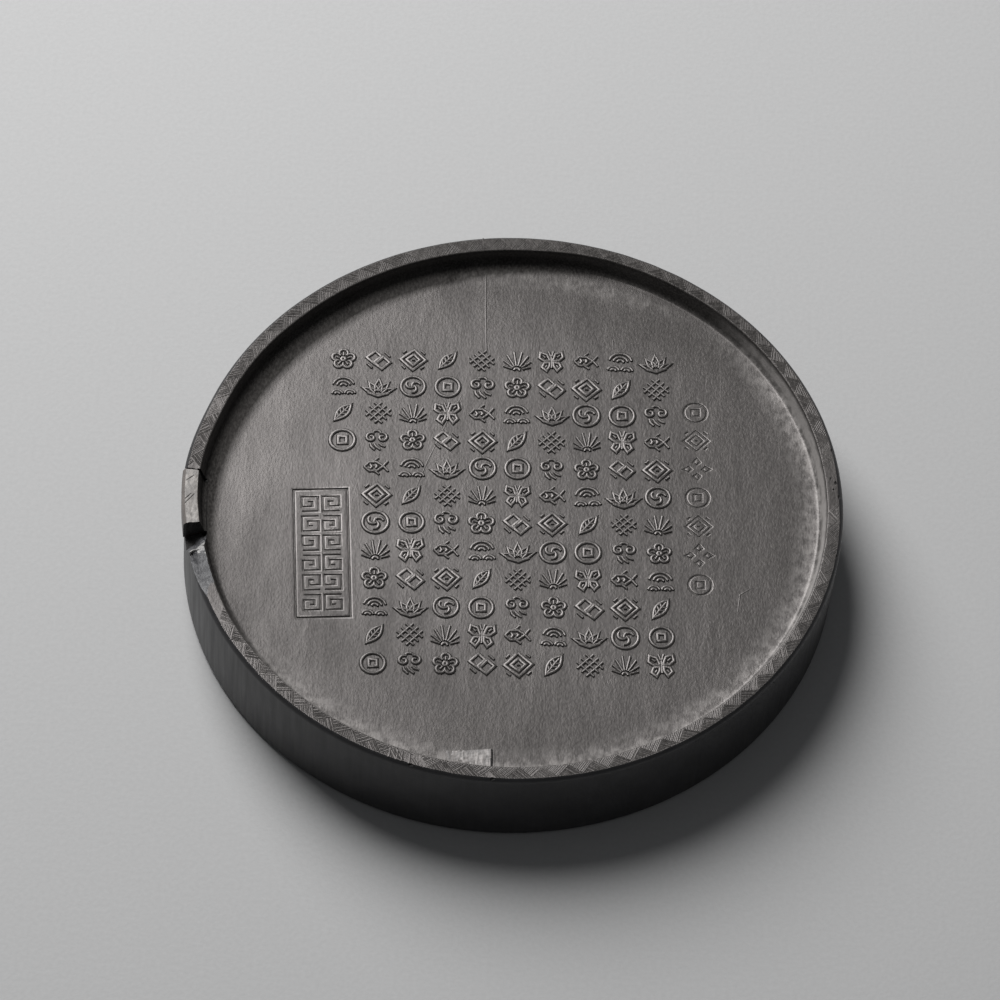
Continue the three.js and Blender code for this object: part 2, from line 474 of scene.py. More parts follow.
def face_section(rim_height):
    """Radius and height above the field, from the flat out to the rim's outer edge."""
    wall_angle = math.degrees(math.atan2(rim_height, wall_draft))
    half_turn = math.radians(wall_angle / 2)
    foot = field_radius - fillet_radius * math.tan(half_turn)
    fillet_centre = (foot, fillet_radius + dish_rise)
    fillet = arc(fillet_centre, fillet_radius, dish_slope - 90, wall_angle - 90, 7)
    arris_foot = arris_radius * math.tan(half_turn)
    arris_centre = (rim_inner + arris_foot, rim_height - arris_radius)
    arris = arc(arris_centre, arris_radius, wall_angle + 90, 90, 5)
    span = dish_start - flat_radius
    level = [(flat_radius + span * share, 0) for share in (0, 0.25, 0.5, 0.75)]
    dish = [
        (dish_start + (foot - dish_start) * share, dish_rise * share * share)
        for share in (0, 0.25, 0.5, 0.75, 0.93)
    ]
    first, last = arris[-1][0], ink_radius - edge_flat
    top = [(first + (last - first) * i / rim_bands, rim_height) for i in range(1, rim_bands + 1)]
    return [*level, *dish, *fillet, *arris, *top, (ink_radius, rim_height - edge_drop)]


# %% Spin the section round the axis
round_steps = 288
upper = [(radius, field_z + z) for radius, z in face_section(rim_z - field_z)]
lower_rim_z = carving_height
lower = [(radius, field_depth - z) for radius, z in face_section(field_depth - lower_rim_z)]
cake_section = lower + upper[::-1]


def spin_section(section, closed):
    bm = bmesh.new()
    verts = [bm.verts.new((radius, 0, z)) for radius, z in section]
    ends = verts[1:] + verts[:1] if closed else verts[1:]
    edges = [bm.edges.new(pair) for pair in zip(verts, ends)]
    bmesh.ops.spin(
        bm, geom=verts + edges, axis=(0, 0, 1), cent=(0, 0, 0),
        angle=math.tau, steps=round_steps, use_merge=True,
    )
    bmesh.ops.remove_doubles(bm, verts=bm.verts, dist=1e-5)
    open_edges = [edge for edge in bm.edges if edge.is_boundary]
    if open_edges:
        bmesh.ops.edgeloop_fill(bm, edges=open_edges)
    bmesh.ops.recalc_face_normals(bm, faces=bm.faces)
    return bm


cake = spin_section(cake_section, closed=False)
print(f"cake: {len(cake.faces)} faces before it is cut")

# %% [markdown]
# ## The break
#
# The rim broke over a length of some twelve degrees, and beyond it a wedge is lost. One cutter
# makes the whole break: a fine grid is laid round the rim, each of its points is set to the
# height of the fracture there, and the sheet is pushed up through the rim to close it. Noise
# gives the surface the facets and crumbs of broken ink. Along its inner edge the seat drops
# into a slot, and beyond the gap the rim's top is scuffed. The break's faces take the dark broken
# ink, which is partly painted shade for its depth, and the upper facets at the gap's far end are
# painted pale, as a painted highlight.

# %% The shape of the fracture
crack_angle = 175.8
fragment_end = 187.4
gap_end_inner = 192.3
gap_end_outer = 193.7
scuffed_end = 200.0
worn_end = 206.0
fracture_inner_depth = 3.5
fracture_outer_depth = 5.2
above_all = thickness + 2.5
crumb_height = 0.22
facets_start = 188.6
facets_depth = 4.4
lip_start = 190.5
lip_end = 193.7
lip_depth = 1.1
slot_radius = 60.2
slot_half_width = 0.6
slot_end = 188.5
slot_depth = 1.6
wear_width = 2.1
wear_depth = 0.9
scuff_depth = 0.1


def fracture_height(angle, radius):
    """The break's surface: the seat, its climb to the rim's top, and the wear beyond."""
    across = (radius - field_radius) / (coat_radius - field_radius)
    depth = fracture_inner_depth + (fracture_outer_depth - fracture_inner_depth) * across
    crumbs = noise.noise((angle * 0.9, radius * 1.3, 3.1))
    crumbs += 0.45 * noise.noise((angle * 2.9, radius * 3.7, 8.4))
    floor = thickness - depth + crumb_height * crumbs
    share = clamp(across)
    climb_start = fragment_end + 0.7 + 1.9 * share
    climb_end = gap_end_inner + (gap_end_outer - gap_end_inner) * share
    ragged = 0.5 * noise.noise((radius * 1.1, 0.5, 0.0))
    climb = clamp((angle + ragged - climb_start) / (climb_end - climb_start))
    height = floor + (thickness - floor) * climb
    if climb < 1:
        slot = smoothstep(slot_half_width, 0.0, abs(radius - slot_radius))
        slot *= smoothstep(slot_end, slot_end - 1.0, angle)
        slot *= smoothstep(crack_angle + 0.3, crack_angle + 1.6, angle)
        return height - slot_depth * slot + 0.3 * crumbs * math.sin(math.pi * climb)
    worn = 1 - smoothstep(gap_end_outer, worn_end, angle)
    slope = wear_depth * worn * smoothstep(coat_radius - wear_width, coat_radius, radius)
    chipped = 0.12 * worn * max(0, crumbs + 0.3)
    drop = slope + chipped + scuff_depth * (1 - smoothstep(scuffed_end, scuffed_end + 3, angle))
    return thickness - drop if drop > carving_height + 0.02 else above_all - 1.0


# %% The cutter for the break
angle_step = 0.16
radius_steps = 26


def close_sheet(bm, level):
    """Pushes a sheet up or down to a level, which closes it."""
    pushed = bmesh.ops.extrude_face_region(bm, geom=bm.faces[:])
    for item in pushed["geom"]:
        if isinstance(item, bmesh.types.BMVert):
            item.co.z = level
    bmesh.ops.recalc_face_normals(bm, faces=bm.faces)


def make_break_cutter(raised=0.0, first=crack_angle, last=worn_end):
    bm = bmesh.new()
    angle_steps = round((last - first) / angle_step)
    inner, outer = field_radius - 1.0, coat_radius + 2.0
    bmesh.ops.create_grid(bm, x_segments=angle_steps, y_segments=radius_steps, size=0.5)
    for vert in bm.verts:
        angle = first + (last - first) * (vert.co.x + 0.5)
        radius = inner + (outer - inner) * (vert.co.y + 0.5)
        ragged = 0.12 * noise.noise((radius * 1.4, angle * 0.2, 5.0))
        vert.co.z = fracture_height(angle, radius) + raised
        vert.co.xy = polar(angle + ragged, radius)
    close_sheet(bm, above_all)
    for face in bm.faces:
        middle = face.calc_center_median()
        angle = angle_of(middle)
        depth = thickness - middle.z
        torn = 1.2 * noise.noise((middle.x * 1.7, middle.y * 1.7, 2.0))
        # Painted highlight: the upper faces at the gap's far end, which face the lamp, take the pale
        # finish.
        if lip_start < angle < lip_end + torn and depth < lip_depth:
            face.material_index = PAINTED_HIGHLIGHT
        elif angle > facets_start and depth < facets_depth:
            face.material_index = SCUFFED
        else:
            face.material_index = BROKEN_AND_SHADE
    return bm


cake = combine(cake, make_break_cutter(), "DIFFERENCE")
print(f"cake: {len(cake.faces)} faces after the break")

# %% [markdown]
# ## Carved lines
#
# Every mark on the cake is a line with a width: raised for the marks on the field, sunk for
# the panel and the column. A line is modelled by pushing its section along a path. At each
# corner the section is set across the bisector, as a joiner mitres a moulding, and at free
# ends it narrows, as a cut from a knife does. Raised lines have steep flanks and soft
# shoulders, and sunk ones a steep middle between soft edges, deeper in the panel than in the
# column. The marks have worn smooth, so they are shinier than the field.

# %% Push a section along a path
def symmetric(half):
    """A section from its left half: shares of the half width and of the height."""
    return half + [(-across, up) for across, up in reversed(half)]


raised_section = symmetric([(-1.12, -0.2), (-0.56, 0.69), (-0.12, 0.89)])
sunk_section = symmetric([(-1.2, 0.08), (-0.55, -0.19), (-0.1, -1.0)])
deep_section = symmetric([(-1.25, 0.06), (-0.52, -0.16), (-0.08, -1.0)])
sharpest_mitre = 0.6


def line_frames(path, closed):
    """The bisecting direction across the path at each of its points."""
    count = len(path)
    frames = []
    for i, point in enumerate(path):
        before = path[i - 1] if i or closed else None
        after = path[(i + 1) % count] if i < count - 1 or closed else None
        arriving = (point - before).normalized() if before is not None else None
        leaving = (after - point).normalized() if after is not None else None
        along = ((arriving or leaving) + (leaving or arriving)).normalized()
        across = Vector((-along.y, along.x))
        side = leaving or arriving
        bend = across.dot(Vector((-side.y, side.x)))
        frames.append(across / max(bend, sharpest_mitre))
    return frames


def carve_line(bm, path, width, height, section, closed=False, taper=0.45):
    path = [Vector(point) for point in path]
    frames = line_frames(path, closed)
    last = len(path) - 1

    def section_points(i):
        swell = 1.0
        if not closed:
            swell = taper + (1 - taper) * math.sin(math.pi * (0.12 + 0.76 * i / last)) ** 0.6
        reach = frames[i] * (width / 2 * swell)
        return [Vector((*(path[i] + reach * across), height * up)) for across, up in section]

    ring = [bm.verts.new(point) for point in section_points(0)]
    edges = [bm.edges.new((ring[k], ring[(k + 1) % len(ring)])) for k in range(len(ring))]
    first_edges = edges
    for i in range(1, len(path)):
        pushed = bmesh.ops.extrude_edge_only(bm, edges=edges)["geom"]
        edges = [item for item in pushed if isinstance(item, bmesh.types.BMEdge)]
        edges = [edge for edge in edges if not any(vert in ring for vert in edge.verts)]
        fresh = {vert for edge in edges for vert in edge.verts}
        partners = [[edge.other_vert(old) for edge in old.link_edges] for old in ring]
        ring = [next(vert for vert in near if vert in fresh) for near in partners]
        for vert, point in zip(ring, section_points(i)):
            vert.co = point
    if closed:
        bmesh.ops.bridge_loops(bm, edges=first_edges + edges)
    else:
        bmesh.ops.edgeloop_fill(bm, edges=first_edges)
        bmesh.ops.edgeloop_fill(bm, edges=edges)


# %% [markdown]
# ## Ornaments
#
# The marks are traditional ornaments: whirls, coins, clouds, blossoms, waves, lozenges, knots,
# lattices, fish, pine, lotus, butterflies and leaves. Each is a list of lines in a square about
# four millimetres wide, and a line is its path and whether it is closed. Spirals and arcs come
# from formulas, so that a change of size keeps them even.

# %% Lines that ornaments share
def ring_line(centre, radius, start=0, end=360, steps=14):
    points = arc(centre, radius, start, end, steps)
    return points[:-1] if end - start == 360 else points


def round_spiral(centre, radius, start, sweep, inner=0.25, steps=15):
    """A scroll that winds in from its rim to near its middle."""
    points = []
    for i in range(steps + 1):
        reach = radius + (inner - radius) * i / steps
        turn = math.radians(start + sweep * i / steps)
        points.append((centre[0] + reach * math.cos(turn), centre[1] + reach * math.sin(turn)))
    return points


def turned(points, angle):
    turn = Matrix.Rotation(math.radians(angle), 2)
    return [tuple(turn @ Vector(point)) for point in points]


def mirrored(points):
    return [(-x, y) for x, y in points]


def open_lines(*paths):
    return [(path, False) for path in paths]


# %% Ornaments made of rings and spirals
def whirl():
    """A ring round three strokes that curl away from its middle."""
    curl = ring_line((0.62, 0.1), 0.85, 190, 20, 7)
    curls = [turned(curl, 120 * k) for k in range(3)]
    return [(ring_line((0, 0), 2.25, steps=20), True), *open_lines(*curls)]


def coin():
    """A round coin with a square hole."""
    hole = [(-0.72, -0.72), (-0.72, 0.72), (0.72, 0.72), (0.72, -0.72)]
    return [(ring_line((0, 0), 2.15, steps=20), True), (hole, True)]


def cloud():
    right_curl = round_spiral((1.05, 0.6), 1.1, 120, -430)
    crest = ring_line((0, 1.35), 0.85, 30, 150, 6)
    tails = (
        [(-0.5, -0.8), (-0.1, -1.5), (0.7, -2.2)],
        [(0.4, -0.7), (0.9, -1.2), (1.6, -1.5)],
        [(-1.2, -0.8), (-1.0, -1.5), (-0.4, -2.2)],
    )
    return open_lines(right_curl, mirrored(right_curl), crest, *tails)


def blossom():
    lines = [(ring_line((0, 0), 0.4, steps=6), True)]
    for k in range(5):
        centre = turned([(0, 1.35)], 72 * k)[0]
        petal = ring_line(centre, 0.8, -50 + 72 * k, 230 + 72 * k, 9)
        lines += open_lines(petal, turned([(0, 0.75), (0, 1.5)], 72 * k))
    return lines


def wave():
    fans = [ring_line((0, -0.1), radius, 15, 165, 7) for radius in (0.6, 1.3, 2.05)]
    for side in (-1.2, 1.2):
        fans += [ring_line((side, -2.0), radius, 15, 165, 7) for radius in (0.5, 1.05)]
    return open_lines(*fans)


def petals():
    """Four pointed petals about a middle."""
    petal = [(0, 1.0), (0.62, 1.55), (0, 2.5), (-0.62, 1.55)]
    return [(turned(petal, 90 * k), True) for k in range(4)]


# %% Ornaments made of straight lines
def lozenge():
    squares = [(ring_line((0, 0), radius, steps=4), True) for radius in (2.35, 1.25)]
    corners = [turned([(1.45, 2.05), (2.05, 1.45)], 90 * k) for k in range(4)]
    return [*squares, *open_lines([(-0.3, 0), (0.3, 0)], *corners)]


def knot():
    first = [(x * 1.5 - 0.65, y * 1.5 + 0.55) for x, y in ring_line((0, 0), 1, steps=4)]
    tail = [(-2.1, -0.8), (-1.2, -1.8)]
    return [(first, True), (turned(first, 180), True), *open_lines(tail, turned(tail, 180))]


def lattice():
    rods = [[(offset, -2.0), (offset, 2.0)] for offset in (-1.1, 0, 1.1)]
    return open_lines(*(turned(rod, angle) for angle in (45, -45) for rod in rods))


# %% Ornaments made of leaves and wings
def fish():
    back = [(-2.2, 0.2), (-1.3, 1.15), (0.1, 1.2), (1.2, 0.35), (2.2, -1.0)]
    belly = [(-2.2, 0.2), (-1.3, -0.75), (0.1, -0.8), (1.2, 0.05), (2.2, 1.3)]
    gill = [(-1.1, 0.75), (-0.75, 0.2), (-1.1, -0.35)]
    fins = ([(-0.4, 1.3), (0.5, 2.1)], [(-0.3, -0.9), (0.5, -1.6)])
    return open_lines(back, belly, gill, *fins, [(-0.1, 0.6), (0.2, 0.2), (-0.1, -0.2)])


def pine():
    needles = []
    for turn in range(20, 161, 20):
        rise = math.sin(math.radians(turn))
        reach = 2.4 + 1.7 * rise * rise
        needles.append(turned([(0.95, 0), (reach, 0)], turn))
    fan = [[(x, y - 2.0) for x, y in needle] for needle in needles]
    return open_lines(ring_line((0, -2.0), 0.5, 0, 180, 6), *fan)


def lotus():
    petal = [(-0.55, 0.3), (-0.68, 1.5), (0, 3.2), (0.68, 1.5), (0.55, 0.3)]
    lines = []
    for turn in (-64, -34, 0, 34, 64):
        shrink = 1 - 0.0035 * abs(turn)
        lines.append([(x, y * shrink - 1.5) for x, y in turned(petal, turn)])
    return open_lines([(-1.9, -1.5), (0, -2.2), (1.9, -1.5)], *lines)


def butterfly():
    upper_wing = [(0.25, 0.2), (0.8, 1.7), (2.0, 2.1), (2.2, 0.9), (1.3, 0.1)]
    lower_wing = [(0.3, -0.2), (1.4, -0.4), (1.8, -1.3), (1.0, -2.1), (0.4, -1.1)]
    feeler = [(0.1, 1.1), (0.45, 2.3)]
    spots = ([(1.1, 0.9), (1.6, 1.4)], [(0.9, -0.9), (1.2, -1.4)])
    half = [(upper_wing, True), (lower_wing, True), *open_lines(feeler, *spots)]
    other_half = [(mirrored(path), closed) for path, closed in half]
    return half + other_half + open_lines([(0, 1.0), (0, -1.5)])


def leaf():
    side = [(0.95 * math.sin(math.pi * i / 6), 2.3 - 4.6 * i / 6) for i in range(7)]
    outline = side + mirrored(side)[-2:0:-1]
    veins = [[(0.0, y), (0.75, y + 0.55)] for y in (-1.3, -0.5, 0.3)]
    veins += [mirrored(vein) for vein in veins]
    lines = [(outline, True), *open_lines([(0, -2.3), (0, 1.6)], *veins)]
    return [(turned(path, -38), closed) for path, closed in lines]


ornaments = [
    cloud, fish, lozenge, whirl, pine, blossom, wave, leaf, coin, butterfly, knot, lotus, lattice,
]
print(f"{len(ornaments)} ornaments")

# %% [markdown]
# ## The sunk panel and the sunk column
#
# To the left a tall panel with one broad border is cut into the field and filled with frets in
# two columns, and to the right a short column of ornaments is cut in. Their lines are gathered
# into one cutter. Sunk lines may not cross each other, so only ornaments whose lines stay apart
# are used.

# %% Gather the sunk lines
def place(bm, lines, width, height, section, matrix, taper=0.45):
    mark = bmesh.new()
    for path, closed in lines:
        carve_line(mark, path, width, height, section, closed, taper)
    mesh = as_mesh(mark, "mark")
    stamp(bm, mesh, matrix)
    bpy.data.meshes.remove(mesh)


def on_field(x, y, turn=0.0, scale=1.0):
    spot = Matrix.Translation((x, y, field_z))
    return spot @ Matrix.Rotation(math.radians(turn), 4, "Z") @ Matrix.Diagonal((scale, scale, 1, 1))


def square_spiral(width, height, gap):
    """A fret that starts at its upper right corner and winds inwards, a side at a time."""
    left, right, low, high = -width / 2, width / 2, -height / 2, height / 2
    return [
        (right, high), (left, high), (left, low), (right, low), (right, high - gap),
        (left + gap, high - gap), (left + gap, low + gap), (right - gap, low + gap),
    ]


panel_centre = (-36.75, -11.7)
panel_turn = 3.9
panel_half_width = 5.25
panel_half_height = 14.85
panel_rows = 6
border_width = 0.92
border_depth = 0.3
fret_width = 0.76
fret_depth = 0.26
fret_inset = 0.86
fret_gap = 1.16
fret_margin = 1.15


def make_panel(bm):
    w, h = panel_half_width, panel_half_height
    ground = on_field(*panel_centre, panel_turn)
    border = [([(-w, -h), (-w, h), (w, h), (w, -h)], True)]
    place(bm, border, border_width, border_depth, deep_section, ground)
    cell_width = w - fret_margin
    cell_height = 2 * (h - fret_margin) / panel_rows
    frets = []
    for column in (-1, 1):
        for row in range(panel_rows):
            fret = square_spiral(cell_width - fret_inset, cell_height - fret_gap, fret_gap)
            flip_x = column * (-1 if row % 3 == 1 else 1)
            flip_y = -1 if row % 2 else 1
            x, y = column * cell_width / 2, (row - (panel_rows - 1) / 2) * cell_height
            frets.append(([(x + flip_x * u, y + flip_y * v) for u, v in fret], False))
    place(bm, frets, fret_width, fret_depth, deep_section, ground, 0.85)


column_top = Vector((35.3, 24.3))
column_step = Vector((0.2, -6.77))
column_shapes = [coin, lozenge, petals, coin, lozenge, petals, coin]
column_width = 0.66
column_depth = 0.16


def make_column(bm):
    for row, shape in enumerate(column_shapes):
        spot = column_top + column_step * row
        ground = on_field(spot.x, spot.y, 2.0, 1.06)
        place(bm, shape(), column_width, column_depth, sunk_section, ground, 0.8)


sunk_lines = bmesh.new()
make_panel(sunk_lines)
make_column(sunk_lines)
for face in sunk_lines.faces:
    face.material_index = WORN
cake = combine(cake, sunk_lines, "DIFFERENCE")
print(f"cake: {len(cake.faces)} faces after carving")

# %% [markdown]
# ## Nicks
#
# Brittle ink chips at its edges. A nick is cut with a small rough stone: a sphere whose points
# are moved by noise. The larger ones are placed one by one, and small ones are scattered along
# the outer edge. In the list of nicks each has an angle and a radius, and its half sizes across
# the rim, along it and down.

# %% The stones that cut the nicks
seed = 7
hands = random.Random(seed)


def add_stone(bm, angle, radius, z, size, shape):
    stone = bmesh.ops.create_icosphere(bm, subdivisions=2, radius=1.0)["verts"]
    spot = Matrix.Translation((*polar(angle, radius), z))
    spot @= Matrix.Rotation(math.radians(angle), 4, "Z")
    for vert in stone:
        rough = 1 + 0.45 * noise.noise(vert.co * 1.9 + Vector((shape, 0, 0)))
        vert.co = spot @ Vector([value * rough * part for value, part in zip(vert.co, size)])


placed_nicks = [
    (267.85, 64.0, 0.75, 0.62, 0.5),
    (253.75, 63.75, 0.5, 0.75, 0.45),
    (5.6, 63.0, 0.3, 0.5, 0.28),
    (6.6, 61.9, 0.22, 0.34, 0.22),
    (4.2, 62.4, 0.3, 0.26, 0.25),
    (0.5, 62.0, 0.2, 0.2, 0.2),
    (2.6, 63.5, 0.35, 0.7, 0.35),
    (350.0, 63.6, 0.3, 0.8, 0.3),
    (12.5, 63.4, 0.28, 0.7, 0.25),
]
scattered_nicks = 22
scattered_start = 212
scattered_span = 310
scattered_radius = 63.75


def make_nicks():
    bm = bmesh.new()
    for i, (angle, radius, *size) in enumerate(placed_nicks):
        add_stone(bm, angle, radius, rim_z + 0.05, size, i)
    for i in range(scattered_nicks):
        share = (i + hands.uniform(0.1, 0.9)) / scattered_nicks
        angle = scattered_start + scattered_span * share
        across = hands.uniform(0.14, 0.34)
        size = (across, across * hands.uniform(0.9, 2.2), across * 0.8)
        add_stone(bm, angle, scattered_radius, rim_z, size, 20 + i)
    for face in bm.faces:
        face.material_index = BROKEN_AND_SHADE
    return bm


cake = combine(cake, make_nicks(), "DIFFERENCE")
print(f"cake: {len(cake.faces)} faces after the nicks")

# %% [markdown]
# ## The rim's set
#
# Near the crack the rim was forced outwards a little before it broke, its inner edge wanders,
# and its outer corner is nowhere quite even. A few vertex moves do what a modelling tool would:
# the points are pushed by a smooth amount that depends on where they are.

# %% Push the rim out by the crack
crack_push = 0.62
edge_shifts = (
    (0, 0.0), (50, 0.1), (74, 0.22), (90, -0.4), (134, -0.35), (150, -0.08), (165, 0.0),
    (202, 0.1), (210, 0.28), (226, 0.0), (360, 0.0),
)


def crack_shift(angle, radius, z):
    """How far the rim was forced outwards by the crack."""
    near = smoothstep(160, crack_angle, angle) * (1 - smoothstep(177, 184, angle))
    across = smoothstep(field_radius - 1.2, rim_inner, radius)
    return crack_push * (near * across * smoothstep(12, 17, z))


def corner_wear(angle, radius, z):
    """How far the outer corner is worn back: a little all round, and more on the right."""
    top = smoothstep(thickness - 1.2, thickness, z) * smoothstep(rim_inner, ink_radius, radius)
    waver = noise.noise((*polar(angle, 26), 1.7))
    rubbed = 0.3 * max(0.0, 1 - abs((angle + 180) % 360 - 184) / 11)
    return top * (0.07 * (0.5 + waver) + rubbed)


def edge_wander(angle, radius, z):
    """How far the inner edge lies outside its circle, read from the list above."""
    share = smoothstep(field_z + 0.4, thickness, z)
    share *= smoothstep(field_radius - 0.3, rim_inner, radius)
    share *= 1 - smoothstep(rim_inner + 0.4, ink_radius - 0.4, radius)
    for (start, first), (end, last) in zip(edge_shifts, edge_shifts[1:]):
        if angle <= end:
            return (first + (last - first) * smoothstep(start, end, angle)) * share
    return 0.0


def settle(bm):
    """Moves the points of a rim or a coat to where they lie now."""
    for vert in bm.verts:
        co = vert.co
        radius = co.xy.length
        if radius < clearance:
            continue
        place = (angle_of(co), radius, co.z)
        push = crack_shift(*place) - corner_wear(*place) + edge_wander(*place)
        on_top = smoothstep(rim_inner + 0.3, rim_inner + 0.9, radius)
        on_top *= smoothstep(thickness - 0.4, rim_z - 0.05, co.z)
        dents = noise.noise((co.x * 0.45, co.y * 0.45, 4.0)) + 0.5 * noise.noise(co * 1.3)
        co.z -= 0.05 * on_top * max(0.0, dents + 0.2)
        co.xy *= (radius + push) / radius


settle(cake)
cake_finish = [ink, scuffed_ink, broken_ink_and_shade, painted_highlight_facets, worn_ink]
finish_piece(cake, "pressed_cake", cake_finish, ["ink_body"], 20)

# %% [markdown]
# ## The lacquer coat
#
# The coat is a thin ring on the side, so it is spun from a closed section. Its shoulder falls
# away steeply from the rim, which keeps it dark: it looks neither at the light nor at the
# floor. It was lost along with the ink at the break, so the same cutters are used again: the
# nicks start from the same seed, and so come out the same.

# %% The lacquer coat
coat_outer = coat_radius - 0.012
shoulder_tilt = 30
shoulder_width = coat_outer - ink_radius + 0.05
shoulder_radius = shoulder_width / (1 - math.sin(math.radians(shoulder_tilt)))
shoulder_drop = shoulder_radius * math.cos(math.radians(shoulder_tilt))


def shoulder(level, up):
    """The rounded shoulder at one edge, from the side to the rim."""
    centre = (coat_outer - shoulder_radius, level - up * shoulder_drop)
    return arc(centre, shoulder_radius, 0, up * (90 - shoulder_tilt), 7)


def make_coat_section():
    lower_edge = shoulder(lower_rim_z, -1)[::-1]
    upper_edge = shoulder(rim_z, 1)
    inner = ink_radius - clearance
    low, high = lower_rim_z + edge_drop + 0.1, rim_z - edge_drop - 0.1
    return lower_edge + upper_edge + [(inner, high), (inner, low)]


coat_section = make_coat_section()
coat = combine(spin_section(coat_section, closed=True), make_break_cutter(), "DIFFERENCE")
hands = random.Random(seed)
coat = combine(coat, make_nicks(), "DIFFERENCE")
settle(coat)
coat_finish = [side_lacquer, scuffed_ink, broken_ink_and_shade, painted_highlight_facets]
finish_piece(coat, "lacquer_coat", coat_finish, ["edge_coat"])

# %% [markdown]
# ## The reset fragment
#
# The broken length is the same turned shape, moved outwards and turned a little, and kept only
# where the break left room for it. Its own coat came off with it and went back with it.

# %% Where the fragment sits
fragment_push = 0.64
fragment_turn = 2.4
glue_thickness = 0.3
glue_angle = math.degrees(glue_thickness / ink_radius)


def fragment_pose():
    middle_angle = (crack_angle + fragment_end) / 2
    middle = polar(middle_angle, ink_radius - rim_width / 2).to_3d()
    push = polar(middle_angle, fragment_push).to_3d()
    turn = Matrix.Rotation(math.radians(fragment_turn), 4, "Z")
    return Matrix.Translation(middle + push) @ turn @ Matrix.Translation(-middle)


pose = fragment_pose()


def make_fragment(section, closed):
    whole = spin_section(section, closed)
    for face in whole.faces:
        face.material_index = int(face.calc_center_median().xy.length < rim_inner + 0.05)
    bmesh.ops.transform(whole, matrix=pose, verts=whole.verts)
    space = make_break_cutter(glue_thickness, crack_angle + glue_angle, fragment_end)
    return combine(whole, space, "INTERSECT")


def roughen(bm):
    """The rubbed top of the fragment: low creases that run along the rim."""
    for vert in bm.verts:
        if vert.co.z > rim_z - 0.03:
            angle = angle_of(vert.co)
            crease = noise.noise((angle * 0.5, vert.co.xy.length * 2.6, 9.0))
            vert.co.z -= 0.09 * max(0.0, crease + 0.15)


# %% The fragment and its coat
fragment = make_fragment(cake_section, False)
roughen(fragment)
fragment_finish = [reset_ink, ink, broken_ink_and_shade, broken_ink_and_shade]
finish_piece(fragment, "reset_rim", fragment_finish, ["rim_fragment"])
fragment_coat = make_fragment(coat_section, True)
fragment_coat_finish = [worn_lacquer, worn_lacquer, broken_ink_and_shade, broken_ink_and_shade]
finish_piece(fragment_coat, "reset_rim_coat", fragment_coat_finish, ["fragment_coat"])

# %% [markdown]
# ## The glue
#
# Glue fills the seat under the fragment and the crack at its end. It shows only as a thin
# brown line, but it is a real body, so it is made as the space between seat and fragment.

# %% The glue film
glue_inset = 0.45
glue_bottom = 8
glue_top = rim_z - 0.3


def make_glue():
    foot, head, outer = field_radius + glue_inset, rim_inner + glue_inset, coat_outer - 0.1
    whole = spin_section([
        (foot, glue_bottom), (foot, field_z + 0.4), (head, rim_z - 0.6),
        (head, glue_top), (outer, glue_top), (outer, glue_bottom),
    ], closed=True)
    seat = make_break_cutter(0.0, crack_angle, fragment_end - 0.1)
    space = make_break_cutter(glue_thickness - 0.02, crack_angle + glue_angle, fragment_end + 1)
    film = combine(whole, seat, "INTERSECT")
    return combine(film, space, "DIFFERENCE")


glue = make_glue()
settle(glue)
finish_piece(glue, "glue_line", [old_glue] * 4, ["glue_film"])

# %% [markdown]
# ## The rim's carving
#
# The rim carries a saw-tooth band: triangles that point outwards and inwards by turns, each
# filled with fine lines parallel to its right side. One small prism is modelled, and each of
# the lines is that prism, stretched from one end to the other. Four broad bars cross the near
# rim, and three thin lines cross the reset fragment. The lower rim is taken to carry the same
# band.

# %% The prism that every hatch line is made of
def make_prism():
    """A ridge from x = 0 to 1, one unit wide and one high, that falls away at its ends."""
    bm = bmesh.new()
    bmesh.ops.create_cube(bm, size=1.0, matrix=Matrix.Translation((0.5, 0, 0.5)))
    for vert in bm.verts:
        if vert.co.z > 0.5:
            vert.co.y = 0
            vert.co.x = 0.5 + (vert.co.x - 0.5) * 0.86
    bmesh.ops.remove_doubles(bm, verts=bm.verts, dist=1e-4)
    return as_mesh(bm, "prism")


prism_root = 0.02


def lay_prism(bm, mesh, start, end, width, height, z=rim_z, up=1):
    """Lays the prism between two points of a rim, each an angle and a radius."""
    first, second = polar(*start), polar(*end)
    along = second - first
    across = Vector((-along.y, along.x)).normalized() * width
    matrix = Matrix((
        (along.x, up * across.x, 0, first.x),
        (along.y, up * across.y, 0, first.y),
        (0, 0, up * (height + prism_root), z - up * prism_root),
        (0, 0, 0, 1),
    ))
    stamp(bm, mesh, matrix)


# %% Hatch the triangles
tooth_count = 82
lines_per_tooth = 10
tooth_angle = 360 / tooth_count
carved_inner = rim_inner + 0.2
carved_outer = ink_radius - 0.08
hatch_width = 0.34
shortest_line = 0.3
sideways_play = 0.08
lengthways_play = 0.1
least_strength = 0.7
nick_margin = 0.15
break_margin = 0.3


def in_nick(angle, radius):
    """Whether a line would stand over one of the larger nicks."""
    return any(
        (polar(angle, radius) - polar(spot, reach)).length < max(across, along) + nick_margin
        for spot, reach, across, along, _ in placed_nicks
    )


def in_break(angle):
    return crack_angle - break_margin < angle % 360 < gap_end_outer + 1


